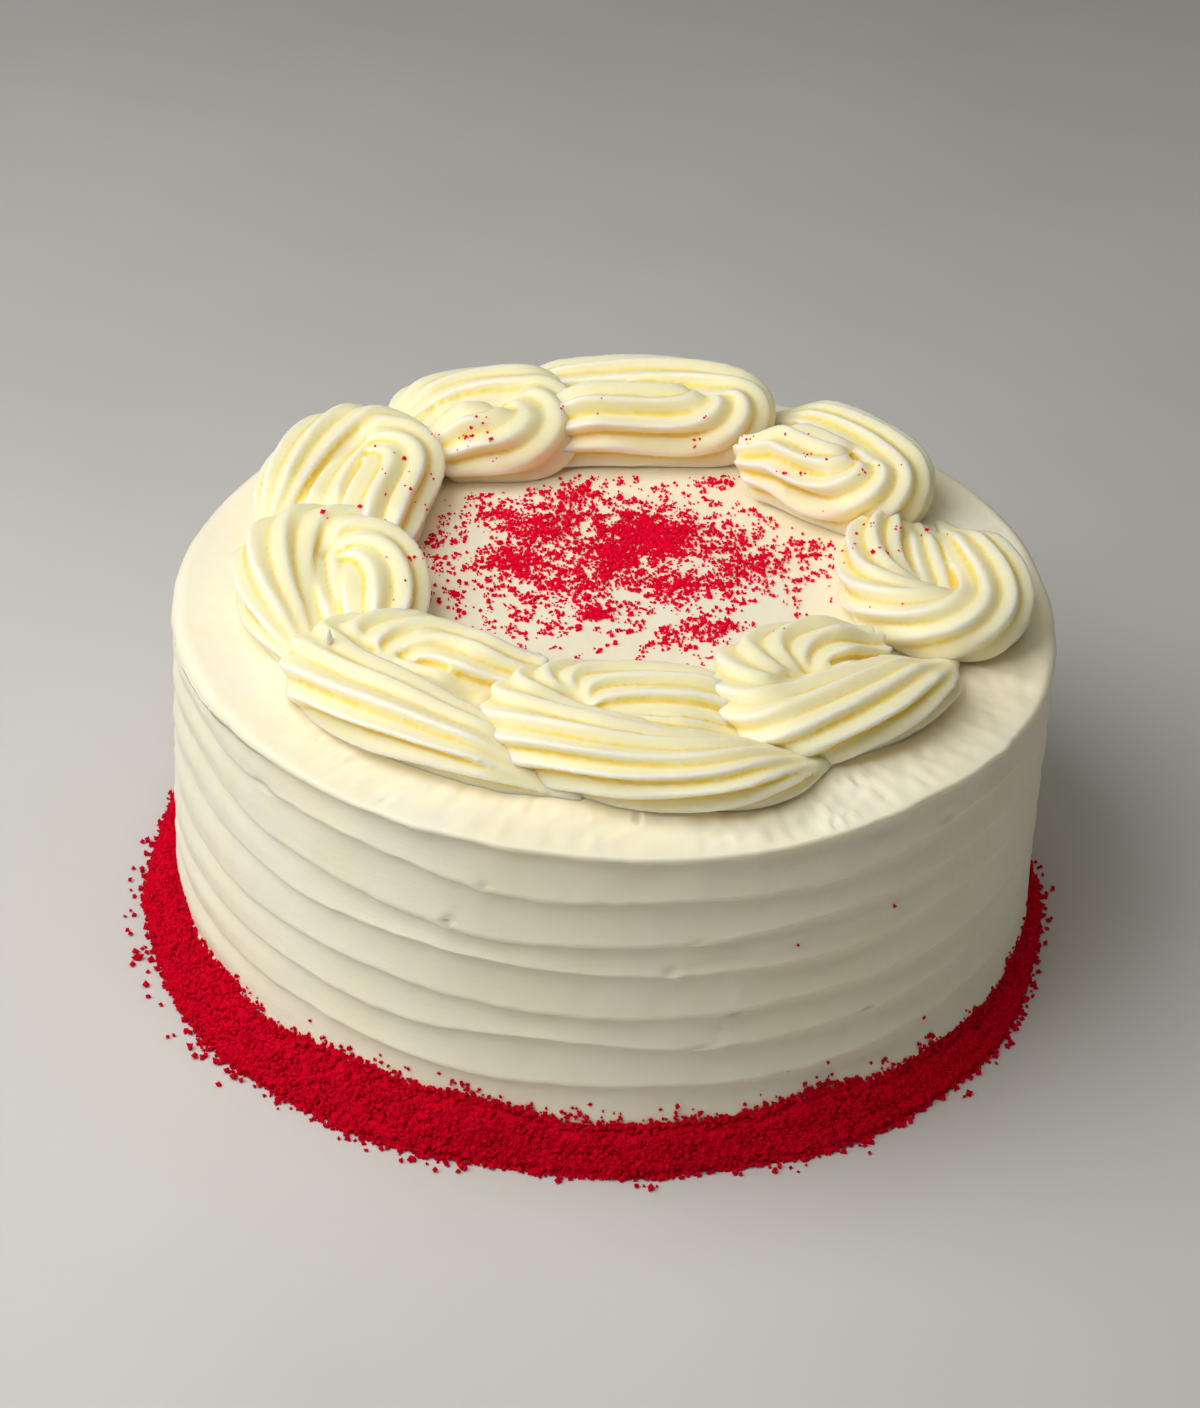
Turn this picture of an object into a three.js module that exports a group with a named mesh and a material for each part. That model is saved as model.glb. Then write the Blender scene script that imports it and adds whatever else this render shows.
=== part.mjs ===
// A round, uncut red velvet cake. Its side carries soft horizontal comb bands, a ring of nine piped
// scrolls lies on its flat top, and a band of red cake crumbs is pressed round its foot.
// Millimetres, +Z up. The origin is on the cake's axis, in the plane that the cake stands on.
import * as THREE from "three";

// ---------------------------------------------------------------- driving dimensions (mm, degrees)

const CAKE_HEIGHT = 84; // up to the flat top
const TOP_RADIUS = 105; // at the top edge
const BASE_RADIUS = 106.5; // at the foot
const EDGE_ROUNDING = 1.6; // the top edge
const LEDGE_DROP = 2.2; // the smoothed top coat laps this far down the side
const BAND_STEP = 2; // how far each comb band steps in under the lip above it
const LIP_HEIGHTS = [72.5, 61.4, 51.6, 39.6, 30.1, 19.9, 9.5]; // lower lip of each comb band, from the top
const LIP_ROUNDING = 0.3; // of each lip's lower edge
const LIP_SHARE = 0.2; // a band is widest at this share of its height
const BODY_SEGMENTS = 40;

const GAP = 0.3; // between a piece and the cake under it
const SIDE_GAP = 0.4; // between pieces side by side

const RING_CENTRE = { x: 2, y: 4 }; // the ring of scrolls sits a little off the cake's axis
const RING_RADIUS = 70; // middle of the ring
const GROOVE_DEPTH = 0.35; // of the strand's half width
const CREST_ROUNDING = 0.14; // of a ridge, as a share of half its width
const BEND_SOFTENING = 0.45; // the grooves are this much shallower where the strand turns sharply
const NOZZLE_LEAN = 0.55; // how far the strand's top lags behind its foot, in half widths
const STRAND_RISE = 3; // a strand ends this much higher than it starts
const TAPER_START = 0.58; // part of the strand's length after which it thins
const TIP_WIDTH = 0.44; // width left at the strand's end
const END_PINCH = 0.6; // of that width, drawn in at the very end
const PINCH_START = 0.82; // part of the strand's length after which it is drawn in
const STRAND_STATIONS = 420; // fine sections that the scroll's form is worked out from
const EYE_STATIONS = 120;
const EYE_HEIGHT = 0.82; // of the icing between a scroll's two arms, over that of the strand
const EYE_SETBACK = 0.3; // it starts this far before the turn's end, in half widths
const EYE_NARROWING = 0.4; // it is this much narrower on each side than the gap, in half widths
const EYE_LEAST = 3.5; // its least half width
const EYE_SINK = 0.45; // it slopes down by this share towards the next scroll
const EYE_SINK_START = 0.65; // part of its length after which it does
const EYE_RELIEF = 0.8; // of the strand's grooves
const EYE_LEAN = 0.3; // like NOZZLE_LEAN
const LEVEL_START = 0.8; // part of the strand's length after which its foot sinks back
const LEVEL_SHARE = 0.8; // of the rise that it loses there
const SECTION_POINTS = 220;
const CELL = 0.5; // fineness of the scroll's relief
const STRIP_STEP = 2.4; // spacing of the solid's cross-sections along the ring
const STRIP_POINTS = 15; // points across the scroll in each of them
const LOWEST_EDGE = 2.5; // the solid's edge stands where the icing is this thick
const LEAST_RUN = 2.5; // a cross-section narrower than this is left out
const ACROSS_STEP = 0.1; // fineness of a cross-section's ends
const WIDEST_HOLLOW = 7; // a wider gap parts a scroll's two arms
const UNDERSIDE = 0.2; // a section's points with a greater cosine from its foot are hidden by the rest
const REACH_ACROSS = 34; // a scroll lies within this distance of the ring's middle
const EDGE_MARGIN = 3; // and this far inside the cake's edge
const FIRST_STRIP = -70; // range of the cross-sections along the ring, from the scroll's place
const LAST_STRIP = 90;
const LEAST_HEIGHT = 1; // of the solid's top above the cake

// One scroll is one strand. It starts on the ring's inner side, runs back (clockwise seen from above),
// turns outwards and runs forward along the ring's outer side. angle is its place on the ring, in
// degrees. Along the ring: start, back (the turn), settle (where the outer arm begins) and reach (its
// end). Across the ring, from its middle: inner and outer are the two arms, lean is how much further in
// the start lies, bow how far the outer arm bows out and tail where it ends. widths are the half widths
// at the start and the end, tall is height over half width, and turn is the nozzle's turn in degrees.
const SCROLLS = [
  {
    name: "swirl_1", teeth: 9, angle: 225, turn: 145, tall: 1.05, widths: [12, 12.5],
    start: 26, inner: -11, lean: -7, back: 9, outer: 17, settle: -3, bow: -4, reach: 50, tail: 18,
  },
  {
    name: "swirl_2", teeth: 11, angle: 267, turn: 77, tall: 1.05, widths: [12.5, 13],
    start: 37, inner: -14, lean: 9, back: 15, outer: 11, settle: 3, bow: 9, reach: 50, tail: 12,
  },
  {
    name: "swirl_3", teeth: 10, angle: 307, turn: 64, tall: 1.05, widths: [13, 13],
    start: 30, inner: -17, lean: 11, back: 9, outer: 8, settle: 1, bow: 2, reach: 43, tail: 11,
  },
  {
    name: "swirl_4", teeth: 9, angle: -3, turn: 85, tall: 1.35, widths: [10, 11],
    start: 32, inner: -14, lean: 11, back: 15, outer: 19, settle: -2, bow: -7, reach: 34, tail: 14,
  },
  {
    name: "swirl_5", teeth: 10, angle: 41, turn: 121, tall: 1.45, widths: [13.5, 10],
    start: 20, inner: -9, lean: -4, back: 13, outer: 9, settle: 3, bow: 6, reach: 36, tail: 17,
  },
  {
    name: "swirl_6", teeth: 9, angle: 85, turn: 111, tall: 1.45, widths: [13, 10.5],
    start: 34, inner: -8, lean: -1, back: 17, outer: 11, settle: 3, bow: 2, reach: 45, tail: 18,
  },
  {
    name: "swirl_7", teeth: 8, angle: 114, turn: 92, tall: 1.35, widths: [13, 9.5],
    start: 27, inner: -12, lean: 9, back: 4, outer: 13, settle: 5, bow: 8, reach: 31, tail: 18,
  },
  {
    name: "swirl_8", teeth: 8, angle: 155, turn: 99, tall: 1.35, widths: [11.5, 9.5],
    start: 36, inner: -9, lean: -2, back: 15, outer: 20, settle: -8, bow: -3, reach: 30, tail: 18,
  },
  {
    name: "swirl_9", teeth: 8, angle: 189, turn: 75, tall: 1.2, widths: [11.5, 10.5],
    start: 34, inner: -14, lean: 12, back: 12, outer: 14, settle: 2, bow: 1, reach: 37, tail: 13,
  },
];
const PEAK_HEIGHT = 17; // the last scroll ends in a peak, pulled up from the top
const PEAK_START = 0.93; // part of that strand's length after which it rises

const CRUMB_HEIGHT = 8.4; // of the crumb band, on average
const CRUMB_FOOT = 6.2; // how far its foot stands out from the cake, on average
const CRUMB_TOP_WIDTH = 1.8; // its thickness at the top
// How its height and foot vary round the cake: [waves, mm, degrees].
const CRUMB_HEIGHT_WAVES = [[1, 2, 225], [2, 1.2, 170], [7, 1.1, 303], [17, 0.6, 73]];
const CRUMB_FOOT_WAVES = [[1, 2.4, 225], [4, 1.4, 180], [13, 0.5, -25]];
const CRUMB_SEGMENTS = 80;

const COLOURS = { frosting: 0xf6eecb, piping: 0xfbefc0, crumbs: 0xc0101f };

// ------------------------------------------------------------------------------- small helpers

const radians = (degrees) => (degrees * Math.PI) / 180;
const clamp = (value, low, high) => Math.min(high, Math.max(low, value));
const smooth = (t) => t * t * (3 - 2 * t);

// A sum of waves round the cake, each given as [waves, size, degrees], at an angle in radians.
function wavesAt(angle, waves) {
  return waves.reduce((sum, [count, size, at]) => sum + size * Math.cos(count * angle - radians(at)), 0);
}

function geometryOf(points, triangles) {
  const geometry = new THREE.BufferGeometry();
  geometry.setAttribute("position", new THREE.Float32BufferAttribute(points.flat(), 3));
  geometry.setIndex(triangles.flat());
  return geometry;
}

function meshOf(name, geometry, colour, roughness) {
  const shown = geometry.index ? geometry.toNonIndexed() : geometry;
  shown.computeVertexNormals();
  const material = new THREE.MeshStandardMaterial({ color: colour, roughness, metalness: 0 });
  const mesh = new THREE.Mesh(shown, material);
  mesh.name = name;
  return mesh;
}

// ------------------------------------------------------------------------------------ the cake

// Each comb band swells towards its lower lip and steps in below it, as roof tiles do.
function cakeProfile() {
  const radiusAt = (z) => BASE_RADIUS + ((TOP_RADIUS - BASE_RADIUS) * z) / CAKE_HEIGHT;
  const profile = [new THREE.Vector2(0, 0)];
  const tops = [CAKE_HEIGHT - LEDGE_DROP, ...LIP_HEIGHTS];
  const lips = [...LIP_HEIGHTS, 0];
  for (let i = lips.length - 1; i >= 0; i -= 1) {
    const lip = lips[i];
    const deep = tops[i] - lip;
    profile.push(new THREE.Vector2(radiusAt(lip) - LIP_ROUNDING, lip + LIP_ROUNDING));
    profile.push(new THREE.Vector2(radiusAt(lip), lip + LIP_SHARE * deep));
    profile.push(new THREE.Vector2(radiusAt(tops[i]) - BAND_STEP, tops[i] - LIP_ROUNDING));
  }
  profile[1].y = 0;
  const ledge = CAKE_HEIGHT - LEDGE_DROP;
  profile.push(new THREE.Vector2(TOP_RADIUS - LIP_ROUNDING, ledge + LIP_ROUNDING));
  const shoulder = new THREE.Vector2(TOP_RADIUS - EDGE_ROUNDING, CAKE_HEIGHT - EDGE_ROUNDING);
  for (const turn of [0, 30, 60, 90]) {
    const x = shoulder.x + EDGE_ROUNDING * Math.cos(radians(turn));
    const y = shoulder.y + EDGE_ROUNDING * Math.sin(radians(turn));
    profile.push(new THREE.Vector2(x, y));
  }
  profile.push(new THREE.Vector2(0, CAKE_HEIGHT));
  return profile;
}

function cakeBody() {
  const geometry = new THREE.LatheGeometry(cakeProfile(), BODY_SEGMENTS);
  geometry.rotateX(Math.PI / 2);
  return geometry;
}

// --------------------------------------------------------------------------------- the scrolls

// A smooth curve steered by its corner points: a uniform cubic B-spline that keeps both ends.
function splineThrough(corners, count) {
  const first = corners[0];
  const last = corners[corners.length - 1];
  const before = [0, 1].map((k) => 2 * first[k] - corners[1][k]);
  const after = [0, 1].map((k) => 2 * last[k] - corners[corners.length - 2][k]);
  const all = [before, ...corners, after];
  const spans = all.length - 3;
  const curve = [];
  for (let i = 0; i < count; i += 1) {
    const t = (i / (count - 1)) * spans * (1 - 1e-9);
    const at = Math.floor(t);
    const u = t - at;
    const weights = [
      (1 - u) ** 3,
      3 * u ** 3 - 6 * u ** 2 + 4,
      -3 * u ** 3 + 3 * u ** 2 + 3 * u + 1,
      u ** 3,
    ];
    curve.push([0, 1].map((k) => weights.reduce((sum, w, j) => sum + w * all[at + j][k], 0) / 6));
  }
  return curve;
}

// Where a point of the ring lies: along the ring from the scroll's own place, and across it.
function onRing(scroll, along, across) {
  const angle = radians(scroll.angle) + along / RING_RADIUS;
  const radius = RING_RADIUS + across;
  return [RING_CENTRE.x + radius * Math.cos(angle), RING_CENTRE.y + radius * Math.sin(angle)];
}

// The nozzle's line, along and across the ring.
function strandLine(scroll, count) {
  const pinch = 0.175 * (scroll.outer - scroll.inner);
  const corners = [
    [scroll.start, scroll.inner + scroll.lean],
    [0.3 * scroll.start, scroll.inner],
    [-scroll.back, scroll.inner + pinch],
    [-scroll.back, scroll.outer - pinch],
    [scroll.settle, scroll.outer],
    [0.55 * scroll.reach, scroll.outer + scroll.bow],
    [scroll.reach, scroll.tail],
  ];
  return splineThrough(corners, count);
}

// The nozzle's path on the cake: evenly spaced stations with their place and heading.
function strandPath(scroll, steps) {
  const fine = strandLine(scroll, 8 * steps).map(([along, across]) => {
    return new THREE.Vector3(...onRing(scroll, along, across), 0);
  });
  const lengths = [0];
  for (let i = 1; i < fine.length; i += 1) {
    lengths.push(lengths[i - 1] + fine[i].distanceTo(fine[i - 1]));
  }
  const total = lengths[lengths.length - 1];
  const stations = [];
  let at = 1;
  for (let i = 0; i <= steps; i += 1) {
    const wanted = (total * i) / steps;
    while (at < fine.length - 1 && lengths[at] < wanted) at += 1;
    const part = (wanted - lengths[at - 1]) / (lengths[at] - lengths[at - 1]);
    const place = fine[at - 1].clone().lerp(fine[at], clamp(part, 0, 1));
    stations.push({ place, u: i / steps });
  }
  let heading = 0;
  stations.forEach((station, i) => {
    const ahead = stations[Math.min(i + 1, steps)].place;
    const behind = stations[Math.max(i - 1, 0)].place;
    const raw = Math.atan2(ahead.y - behind.y, ahead.x - behind.x);
    const turns = i === 0 ? 0 : Math.round((heading - raw) / (2 * Math.PI));
    heading = raw + turns * 2 * Math.PI;
    station.heading = heading;
  });
  // How sharply the strand turns at each station: 0 where it runs straight, 1 in the tightest turn.
  stations.forEach((station, i) => {
    const ahead = stations[Math.min(i + 1, steps)];
    const behind = stations[Math.max(i - 1, 0)];
    const curvature = Math.abs(ahead.heading - behind.heading) / ahead.place.distanceTo(behind.place);
    station.bend = clamp(curvature * halfWidth(scroll, station.u), 0, 1);
  });
  return stations;
}

// The strand's half width: it swells at the start and thins towards the end.
function halfWidth(scroll, u) {
  const [first, last] = scroll.widths;
  const swell = 0.7 + 0.3 * smooth(clamp(u / 0.15, 0, 1));
  const thin = clamp((u - TAPER_START) / (1 - TAPER_START), 0, 1) ** 1.6;
  const pinch = 1 - END_PINCH * smooth(clamp((u - PINCH_START) / (1 - PINCH_START), 0, 1));
  return (first * swell + (last - first) * smooth(u)) * (1 - (1 - TIP_WIDTH) * thin) * pinch;
}

// 1 on a ridge and 0 in a groove, with straight flanks and a rounded crest; a tooth is 2 pi wide.
function ridgeHeight(tooth) {
  const turn = 2 * Math.PI;
  const away = Math.abs(tooth / turn - Math.round(tooth / turn)) * 2;
  const rounded = Math.hypot(away, CREST_ROUNDING) - CREST_ROUNDING;
  return 1 - rounded / (Math.hypot(1, CREST_ROUNDING) - CREST_ROUNDING);
}

// The icing that fills a scroll's eye, between its two arms: stations with their place, half width,
// height and heading.
function eyePath(scroll) {
  const line = strandLine(scroll, 8 * STRAND_STATIONS);
  const back = line.reduce((best, point, i) => (point[0] < line[best][0] ? i : best), 0);
  const arms = [line.slice(0, back + 1).reverse(), line.slice(back)];
  const wide = (scroll.widths[0] + scroll.widths[1]) / 2;
  const from = -scroll.back + EYE_SETBACK * wide;
  const to = Math.min(scroll.start, scroll.reach) - 1;
  const stations = [];
  for (let i = 0; i <= EYE_STATIONS; i += 1) {
    const along = from + ((to - from) * i) / EYE_STATIONS;
    const [inner, outer] = arms.map((arm) => (arm.find((point) => point[0] >= along) ?? arm.at(-1))[1]);
    const [x, y] = onRing(scroll, along, (inner + outer) / 2);
    const swell = Math.sin(0.35 + (1.22 * i) / EYE_STATIONS) ** 0.5;
    const half = Math.max((outer - inner) / 2 - EYE_NARROWING * wide, EYE_LEAST) * swell;
    const sunk = EYE_SINK * smooth(clamp((i / EYE_STATIONS - EYE_SINK_START) / (1 - EYE_SINK_START), 0, 1));
    const high = EYE_HEIGHT * scroll.tall * wide * (1 - sunk);
    stations.push({ x, y, half, high });
  }
  stations.forEach((station, i) => {
    const ahead = stations[Math.min(i + 1, EYE_STATIONS)];
    const behind = stations[Math.max(i - 1, 0)];
    station.heading = Math.atan2(ahead.y - behind.y, ahead.x - behind.x);
  });
  return stations;
}

// The tops of all the strand's sections, as heights above the cake on a fine square net. The star
// nozzle keeps its direction while the strand turns, so each ridge and groove keeps its own angle.
function relief(scroll) {
  const across = Math.ceil((2 * TOP_RADIUS) / CELL);
  const heights = new Float32Array(across * across);
  const first = radians(scroll.angle + 90 + scroll.turn);
  const peaked = scroll === SCROLLS[SCROLLS.length - 1];
  const raise = (x, y, height) => {
    const column = Math.floor((x + TOP_RADIUS) / CELL);
    const row = Math.floor((y + TOP_RADIUS) / CELL);
    for (const at of [0, 1, across, across + 1]) {
      const cell = row * across + column + at;
      heights[cell] = Math.max(heights[cell], height);
    }
  };
  for (const { place, heading, bend, u } of strandPath(scroll, STRAND_STATIONS)) {
    const half = halfWidth(scroll, u);
    const high = scroll.tall * half;
    const depth = GROOVE_DEPTH * (1 - BEND_SOFTENING * bend);
    const peak = peaked ? clamp((u - PEAK_START) / (1 - PEAK_START), 0, 1) ** 2 : 0;
    const sunk = LEVEL_SHARE * smooth(clamp((u - LEVEL_START) / (1 - LEVEL_START), 0, 1));
    const lift = STRAND_RISE * u * (1 - sunk);
    for (let j = 0; j < SECTION_POINTS; j += 1) {
      const phi = (2 * Math.PI * j) / SECTION_POINTS;
      const beta = phi - heading;
      if (Math.cos(beta) > UNDERSIDE) continue;
      const out = half * (1 - depth * (1 - ridgeHeight(scroll.teeth * (phi - first))));
      const left = Math.sin(beta) * out * (1 - 0.5 * peak);
      const along = Math.cos(beta) * out * NOZZLE_LEAN;
      const up = (high * (1 - (Math.cos(beta) * out) / half)) / 2;
      raise(
        place.x + along * Math.cos(heading) - left * Math.sin(heading),
        place.y + along * Math.sin(heading) + left * Math.cos(heading),
        lift + up + peak * (PEAK_HEIGHT - lift - high),
      );
    }
  }
  for (const { x, y, half, high, heading } of eyePath(scroll)) {
    for (let j = 0; j < SECTION_POINTS; j += 1) {
      const phi = (2 * Math.PI * j) / SECTION_POINTS;
      const beta = phi - heading;
      if (Math.cos(beta) > UNDERSIDE) continue;
      const ridge = ridgeHeight(scroll.teeth * (phi - first));
      const out = half * (1 - EYE_RELIEF * GROOVE_DEPTH * (1 - ridge));
      const left = Math.sin(beta) * out;
      const along = EYE_LEAN * Math.cos(beta) * out;
      raise(
        x + along * Math.cos(heading) - left * Math.sin(heading),
        y + along * Math.sin(heading) + left * Math.cos(heading),
        (high * (1 - (Math.cos(beta) * out) / half)) / 2,
      );
    }
  }
  return (x, y) => {
    const column = (x + TOP_RADIUS) / CELL - 0.5;
    const row = (y + TOP_RADIUS) / CELL - 0.5;
    const i = Math.floor(column);
    const j = Math.floor(row);
    const cell = j * across + i;
    const lower = heights[cell] + (column - i) * (heights[cell + 1] - heights[cell]);
    const next = cell + across;
    const upper = heights[next] + (column - i) * (heights[next + 1] - heights[next]);
    return lower + (row - j) * (upper - lower);
  };
}

// The runs of a cross-section that a scroll covers. Narrow hollows, such as its eye, are counted in.
function runsAcross(scroll, height, along) {
  const runs = [];
  for (let across = -REACH_ACROSS; across <= REACH_ACROSS; across += ACROSS_STEP) {
    const [x, y] = onRing(scroll, along, across);
    if (height(x, y) < LOWEST_EDGE || Math.hypot(x, y) > TOP_RADIUS - EDGE_MARGIN) continue;
    const last = runs[runs.length - 1];
    if (last && across - last[1] < WIDEST_HOLLOW) last[1] = across;
    else runs.push([across, across]);
  }
  return runs;
}

// The run that is the scroll's own: a scroll piped later lies over it. In the forward half that is the
// outermost run, where the outer arm passes round the next scroll's head, and else the widest.
function ownRun(scroll, height, later, along) {
  const covered = later.flatMap((other) => {
    const shift = radians(scroll.angle - other.scroll.angle);
    const turns = Math.round(shift / (2 * Math.PI)) * 2 * Math.PI;
    const there = along + (shift - turns) * RING_RADIUS;
    return [-0.5, 0, 0.5].flatMap((step) => runsAcross(other.scroll, other.height, there + step));
  });
  let best = [0, 0];
  for (const [low, high] of runsAcross(scroll, height, along)) {
    let from = null;
    for (let across = low; across <= high + ACROSS_STEP; across += ACROSS_STEP) {
      const under = covered.some((run) => across > run[0] - SIDE_GAP && across < run[1] + SIDE_GAP);
      if (!under && across <= high) {
        from = from === null ? across : from;
        continue;
      }
      const wide = from === null ? 0 : across - ACROSS_STEP - from;
      if (wide > best[1] - best[0] || (along > 0 && wide > LEAST_RUN)) {
        best = [from, across - ACROSS_STEP];
      }
      from = null;
    }
  }
  return best;
}

// A scroll's solid: cross-sections of the ring, side by side, each with the relief's heights on top.
function scrollGeometry(scroll, height, later) {
  const runs = [];
  for (let along = FIRST_STRIP; along <= LAST_STRIP; along += STRIP_STEP) {
    const [low, high] = ownRun(scroll, height, later, along);
    runs.push({ along, low, high });
  }
  // Each end is held back to its neighbours', so that no straight edge cuts a corner of a neighbour.
  const held = runs.map((run, i) => {
    const near = runs.slice(Math.max(i - 1, 0), i + 2);
    const low = Math.max(...near.map((r) => r.low));
    const high = Math.min(...near.map((r) => r.high));
    return { along: run.along, low, high, wide: high - low > LEAST_RUN };
  });
  const middle = held.findIndex((run) => run.along >= 0);
  let first = middle;
  while (first > 0 && held[first - 1].wide) first -= 1;
  let last = middle;
  while (last + 1 < held.length && held[last + 1].wide) last += 1;
  const rows = held.slice(first, last + 1);
  const floor = CAKE_HEIGHT + GAP;
  const points = [];
  for (const { along, low, high } of rows) {
    for (let j = 0; j < STRIP_POINTS; j += 1) {
      const [x, y] = onRing(scroll, along, low + ((high - low) * j) / (STRIP_POINTS - 1));
      points.push([x, y, CAKE_HEIGHT + Math.max(height(x, y), LEAST_HEIGHT)]);
    }
    points.push([...onRing(scroll, along, high), floor]);
    points.push([...onRing(scroll, along, low), floor]);
  }
  const corners = STRIP_POINTS + 2;
  const triangles = [];
  for (let i = 0; i + 1 < rows.length; i += 1) {
    for (let j = 0; j < corners; j += 1) {
      const k = (j + 1) % corners;
      const a = i * corners;
      const b = a + corners;
      triangles.push([a + j, a + k, b + j], [a + k, b + k, b + j]);
    }
  }
  const end = (rows.length - 1) * corners;
  for (let j = 1; j + 1 < corners; j += 1) {
    triangles.push([corners - 1, j, j - 1]);
    triangles.push([end + corners - 1, end + j - 1, end + j]);
  }
  return geometryOf(points, triangles);
}

// A later scroll lies over the one before it, and the last one over the first.
function scrollGeometries() {
  const piped = SCROLLS.map((scroll) => ({ scroll, height: relief(scroll) }));
  return piped.map(({ scroll, height }, i) => {
    const later = piped.slice(i + 1, i + 2);
    if (i === 0) later.push(piped[SCROLLS.length - 1]);
    return scrollGeometry(scroll, height, later);
  });
}

// ------------------------------------------------------------------------------ the crumb band

// A heap of crumbs pressed against the foot of the cake, deeper on one side, with an uneven outline.
function crumbBand() {
  const inside = BASE_RADIUS + SIDE_GAP;
  const points = [];
  for (let i = 0; i < CRUMB_SEGMENTS; i += 1) {
    const angle = (2 * Math.PI * i) / CRUMB_SEGMENTS;
    const foot = CRUMB_FOOT + wavesAt(angle, CRUMB_FOOT_WAVES);
    const high = CRUMB_HEIGHT + wavesAt(angle, CRUMB_HEIGHT_WAVES);
    const profile = [
      [inside, 0],
      [inside + foot, 0],
      [inside + foot - 0.4, 2.2],
      [inside + 0.68 * foot, 0.5 * high],
      [inside + Math.min(1.5 * CRUMB_TOP_WIDTH, 0.5 * foot), 0.9 * high],
      [inside + 0.5 * CRUMB_TOP_WIDTH, high],
      [inside, high - 0.6],
    ];
    for (const [radius, z] of profile) {
      points.push([radius * Math.cos(angle), radius * Math.sin(angle), z]);
    }
  }
  const corners = points.length / CRUMB_SEGMENTS;
  const triangles = [];
  for (let i = 0; i < CRUMB_SEGMENTS; i += 1) {
    const next = ((i + 1) % CRUMB_SEGMENTS) * corners;
    for (let j = 0; j < corners; j += 1) {
      const k = (j + 1) % corners;
      triangles.push([i * corners + j, next + j, i * corners + k]);
      triangles.push([i * corners + k, next + j, next + k]);
    }
  }
  return geometryOf(points, triangles);
}

// ---------------------------------------------------------------------------------- assembly

const group = new THREE.Group();
group.add(meshOf("cake_body", cakeBody(), COLOURS.frosting, 0.55));
scrollGeometries().forEach((geometry, i) => {
  group.add(meshOf(SCROLLS[i].name, geometry, COLOURS.piping, 0.5));
});
group.add(meshOf("crumb_band", crumbBand(), COLOURS.crumbs, 0.9));

export default group;
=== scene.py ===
"""Looks of a red velvet cake: combed cream frosting, a ring of nine piped scrolls, fine red crumbs
scattered on the top and a band of crumbs pressed round the foot. Sizes are millimetres until a mesh is
made."""

import math

import bpy
import numpy as np
from mathutils import Matrix, Vector
from mathutils.bvhtree import BVHTree


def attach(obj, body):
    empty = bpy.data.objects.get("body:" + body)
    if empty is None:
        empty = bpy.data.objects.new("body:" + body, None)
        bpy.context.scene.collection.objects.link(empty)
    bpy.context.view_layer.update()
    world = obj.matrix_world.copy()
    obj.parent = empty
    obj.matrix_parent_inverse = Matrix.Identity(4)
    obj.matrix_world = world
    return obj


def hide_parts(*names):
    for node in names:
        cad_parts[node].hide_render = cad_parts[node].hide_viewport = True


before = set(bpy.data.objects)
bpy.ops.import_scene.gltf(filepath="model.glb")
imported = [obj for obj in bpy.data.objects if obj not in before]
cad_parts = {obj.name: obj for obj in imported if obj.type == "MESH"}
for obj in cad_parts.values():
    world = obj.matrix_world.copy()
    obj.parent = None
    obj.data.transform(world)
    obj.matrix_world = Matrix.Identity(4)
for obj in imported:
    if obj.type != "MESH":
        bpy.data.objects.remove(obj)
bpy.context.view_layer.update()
MM = 0.001

# ------------------------------------------------------------ sizes, as in the CAD source (mm, degrees)

CAKE_HEIGHT = 84
TOP_RADIUS = 105
BASE_RADIUS = 106.5
RING_CENTRE = (2, 4)
RING_RADIUS = 70
GROOVE_DEPTH = 0.35
CREST_ROUNDING = 0.14  # of a ridge, as a share of half its width
BEND_SOFTENING = 0.45  # the grooves are this much shallower where the strand turns sharply
NOZZLE_LEAN = 0.55
FOOT_RELIEF = 0.3  # of the grooves that is left where the strand is pressed on the cake
STRAND_RISE = 3
TAPER_START = 0.58
TIP_WIDTH = 0.44
END_PINCH = 0.6
PINCH_START = 0.82
TONGUE_HEIGHT = 0.82  # of the strand
TONGUE_SINK = 0.45  # it slopes down by this share towards the next scroll
TONGUE_SINK_START = 0.65
PEAK_HEIGHT = 17

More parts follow.
